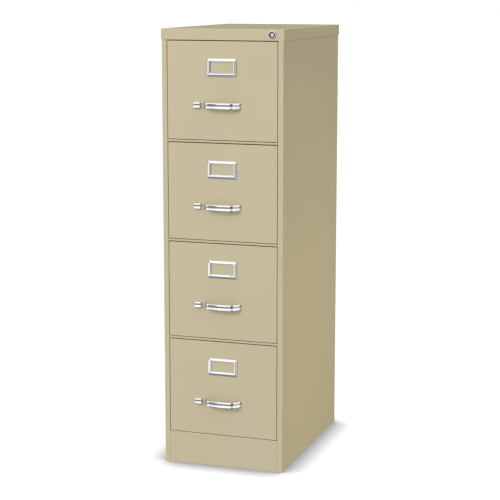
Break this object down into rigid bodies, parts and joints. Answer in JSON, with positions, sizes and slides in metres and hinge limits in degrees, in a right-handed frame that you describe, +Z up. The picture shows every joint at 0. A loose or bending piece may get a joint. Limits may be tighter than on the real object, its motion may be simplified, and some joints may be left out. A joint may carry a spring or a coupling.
{
  "type": "vertical filing cabinet",
  "caption": "Upright steel filing cabinet with stacked file drawers on telescoping slides, bow pulls, thumb latches, label frames and a gang lock.",
  "frame": {"origin": "on the floor under the middle of the cabinet, its pulls included", "axes": "+Z up, drawers open towards -Y, +X to the right as seen from the front"},
  "size_m": [0.381, 0.6158, 1.3208],
  "materials": {
    "putty_paint": "baked putty enamel with fine orange peel, satin",
    "zinc_plate": "zinc-plated rolled steel, slightly oily",
    "chrome_plate": "bright chrome plate"
  },
  "bodies": {
    "case": {"left_side_panel": "putty_paint", "right_side_panel": "putty_paint", "left_slide_rack": "zinc_plate", "right_slide_rack": "zinc_plate", "top_cap": "putty_paint", "back_panel": "putty_paint", "top_rail": "putty_paint", "rear_base_brace": "putty_paint", "kick_panel": "putty_paint", "cross_rail_1": "putty_paint", "cross_rail_2": "putty_paint", "cross_rail_3": "putty_paint", "lock_housing": "chrome_plate"},
    "lock_cylinder": {"lock_plug": "chrome_plate", "lock_cam": "zinc_plate"},
    "lock_bar": {"lock_bar": "zinc_plate"},
    "drawer_1": {"drawer_1_front": "putty_paint", "drawer_1_tray": "putty_paint", "drawer_1_label_holder": "chrome_plate", "drawer_1_pull": "chrome_plate", "drawer_1_runner_left": "zinc_plate", "drawer_1_runner_right": "zinc_plate"},
    "drawer_1_middle_slides": {"drawer_1_mid_slide_left": "zinc_plate", "drawer_1_mid_slide_right": "zinc_plate"},
    "drawer_1_latch": {"drawer_1_thumb_latch": "chrome_plate", "drawer_1_latch_bar": "zinc_plate"},
    "drawer_2": {"drawer_2_front": "putty_paint", "drawer_2_tray": "putty_paint", "drawer_2_label_holder": "chrome_plate", "drawer_2_pull": "chrome_plate", "drawer_2_runner_left": "zinc_plate", "drawer_2_runner_right": "zinc_plate"},
    "drawer_2_middle_slides": {"drawer_2_mid_slide_left": "zinc_plate", "drawer_2_mid_slide_right": "zinc_plate"},
    "drawer_2_latch": {"drawer_2_thumb_latch": "chrome_plate", "drawer_2_latch_bar": "zinc_plate"},
    "drawer_3": {"drawer_3_front": "putty_paint", "drawer_3_tray": "putty_paint", "drawer_3_label_holder": "chrome_plate", "drawer_3_pull": "chrome_plate", "drawer_3_runner_left": "zinc_plate", "drawer_3_runner_right": "zinc_plate"},
    "drawer_3_middle_slides": {"drawer_3_mid_slide_left": "zinc_plate", "drawer_3_mid_slide_right": "zinc_plate"},
    "drawer_3_latch": {"drawer_3_thumb_latch": "chrome_plate", "drawer_3_latch_bar": "zinc_plate"},
    "drawer_4": {"drawer_4_front": "putty_paint", "drawer_4_tray": "putty_paint", "drawer_4_label_holder": "chrome_plate", "drawer_4_pull": "chrome_plate", "drawer_4_runner_left": "zinc_plate", "drawer_4_runner_right": "zinc_plate"},
    "drawer_4_middle_slides": {"drawer_4_mid_slide_left": "zinc_plate", "drawer_4_mid_slide_right": "zinc_plate"},
    "drawer_4_latch": {"drawer_4_thumb_latch": "chrome_plate", "drawer_4_latch_bar": "zinc_plate"}
  },
  "joints": [
    {"name": "lock_turn", "type": "hinge", "parent": "case", "child": "lock_cylinder", "pos_m": [0.1545, -0.27635, 1.3048], "axis": [0, 1, 0], "range_deg": [0, 90.3]},
    {"name": "lock_bar_lift", "type": "slide", "parent": "case", "child": "lock_bar", "axis": [0, 0, 1], "range_m": [0, 0.007]},
    {"name": "drawer_1_slide", "type": "slide", "parent": "case", "child": "drawer_1", "axis": [0, -1, 0], "range_m": [0, 0.5]},
    {"name": "drawer_1_middle_slide", "type": "slide", "parent": "case", "child": "drawer_1_middle_slides", "axis": [0, -1, 0], "range_m": [0, 0.2501]},
    {"name": "drawer_1_latch_slide", "type": "slide", "parent": "drawer_1", "child": "drawer_1_latch", "axis": [1, 0, 0], "range_m": [0, 0.006], "stiffness_N_per_m": 400, "springref_m": -0.004},
    {"name": "drawer_2_slide", "type": "slide", "parent": "case", "child": "drawer_2", "axis": [0, -1, 0], "range_m": [0, 0.5]},
    {"name": "drawer_2_middle_slide", "type": "slide", "parent": "case", "child": "drawer_2_middle_slides", "axis": [0, -1, 0], "range_m": [0, 0.2501]},
    {"name": "drawer_2_latch_slide", "type": "slide", "parent": "drawer_2", "child": "drawer_2_latch", "axis": [1, 0, 0], "range_m": [0, 0.006], "stiffness_N_per_m": 400, "springref_m": -0.004},
    {"name": "drawer_3_slide", "type": "slide", "parent": "case", "child": "drawer_3", "axis": [0, -1, 0], "range_m": [0, 0.5]},
    {"name": "drawer_3_middle_slide", "type": "slide", "parent": "case", "child": "drawer_3_middle_slides", "axis": [0, -1, 0], "range_m": [0, 0.2501]},
    {"name": "drawer_3_latch_slide", "type": "slide", "parent": "drawer_3", "child": "drawer_3_latch", "axis": [1, 0, 0], "range_m": [0, 0.006], "stiffness_N_per_m": 400, "springref_m": -0.004},
    {"name": "drawer_4_slide", "type": "slide", "parent": "case", "child": "drawer_4", "axis": [0, -1, 0], "range_m": [0, 0.5]},
    {"name": "drawer_4_middle_slide", "type": "slide", "parent": "case", "child": "drawer_4_middle_slides", "axis": [0, -1, 0], "range_m": [0, 0.2501]},
    {"name": "drawer_4_latch_slide", "type": "slide", "parent": "drawer_4", "child": "drawer_4_latch", "axis": [1, 0, 0], "range_m": [0, 0.006], "stiffness_N_per_m": 400, "springref_m": -0.004}
  ],
  "couplings": [
    {"joint": "lock_turn", "follows": "lock_bar_lift", "rad_per_m": 224.4},
    {"joint": "drawer_1_middle_slide", "follows": "drawer_1_slide", "ratio": 0.5},
    {"joint": "drawer_2_middle_slide", "follows": "drawer_2_slide", "ratio": 0.5},
    {"joint": "drawer_3_middle_slide", "follows": "drawer_3_slide", "ratio": 0.5},
    {"joint": "drawer_4_middle_slide", "follows": "drawer_4_slide", "ratio": 0.5}
  ]
}
